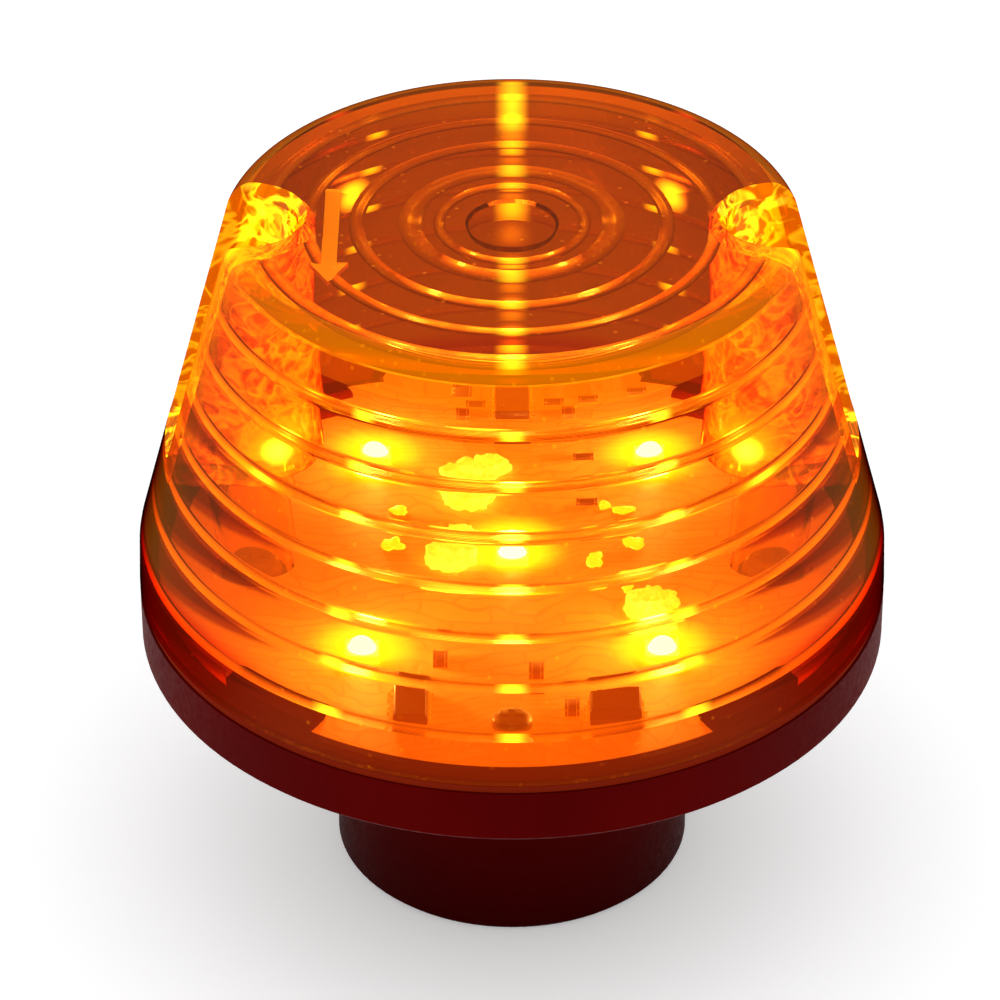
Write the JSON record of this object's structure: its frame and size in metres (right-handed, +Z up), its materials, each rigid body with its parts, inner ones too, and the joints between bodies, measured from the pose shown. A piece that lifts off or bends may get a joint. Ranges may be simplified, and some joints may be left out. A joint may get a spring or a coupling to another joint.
{
  "type": "warning lamp",
  "caption": "Amber LED warning lamp: conical ribbed lens with screw wells over a round base, and a short mounting neck with a cable grommet.",
  "frame": {"origin": "centre of the base flange's underside, on the lamp's axis", "axes": "+Z up the lamp's axis, out of the lens's top; the neck points along -Z; X runs through the two lens screws, and -Y is the front, where the board screw is"},
  "size_m": [0.08, 0.08, 0.0788],
  "materials": {
    "base_plastic": "satin moulded",
    "seal_rubber": "matt",
    "lens_amber": "clear moulded amber",
    "screw_steel": "zinc plated",
    "insert_brass": "turned",
    "board_laminate": "pale solder mask",
    "led_ceramic": "white",
    "led_lit": "clear dome, lit",
    "chip_epoxy": "moulded",
    "resistor_film": "glazed",
    "capacitor_ceramic": "ceramic",
    "sealant_silicone": "white, satin"
  },
  "bodies": {
    "base": {"base_housing": "base_plastic", "lens_seal": "seal_rubber", "screw_insert_left": "insert_brass", "screw_insert_right": "insert_brass", "circuit_board": "board_laminate", "board_screw": "screw_steel", "led_housing_1": "led_ceramic", "led_housing_2": "led_ceramic", "led_housing_3": "led_ceramic", "led_housing_4": "led_ceramic", "led_housing_5": "led_ceramic", "led_dome_1": "led_lit", "led_dome_2": "led_lit", "led_dome_3": "led_lit", "led_dome_4": "led_lit", "led_dome_5": "led_lit", "flash_controller": "chip_epoxy", "power_diode": "chip_epoxy", "driver_transistor": "chip_epoxy", "voltage_regulator": "chip_epoxy", "chip_resistors": "resistor_film", "chip_capacitors": "capacitor_ceramic", "wire_sealant_1": "sealant_silicone", "wire_sealant_2": "sealant_silicone", "wire_sealant_3": "sealant_silicone", "cable_grommet": "seal_rubber"},
    "lens": {"lens": "lens_amber"},
    "left_lens_screw": {"lens_screw_left": "screw_steel"},
    "right_lens_screw": {"lens_screw_right": "screw_steel"}
  },
  "joints": [
    {"name": "lens_lift", "type": "slide", "parent": "base", "child": "lens", "axis": [0, 0, 1], "range_m": [0, 0.06]},
    {"name": "left_screw_turn", "type": "hinge", "parent": "lens", "child": "left_lens_screw", "pos_m": [-0.0276, 0, 0.0066], "axis": [0, 0, 1], "continuous": true},
    {"name": "right_screw_turn", "type": "hinge", "parent": "lens", "child": "right_lens_screw", "pos_m": [0.0276, 0, 0.0066], "axis": [0, 0, 1], "continuous": true}
  ]
}
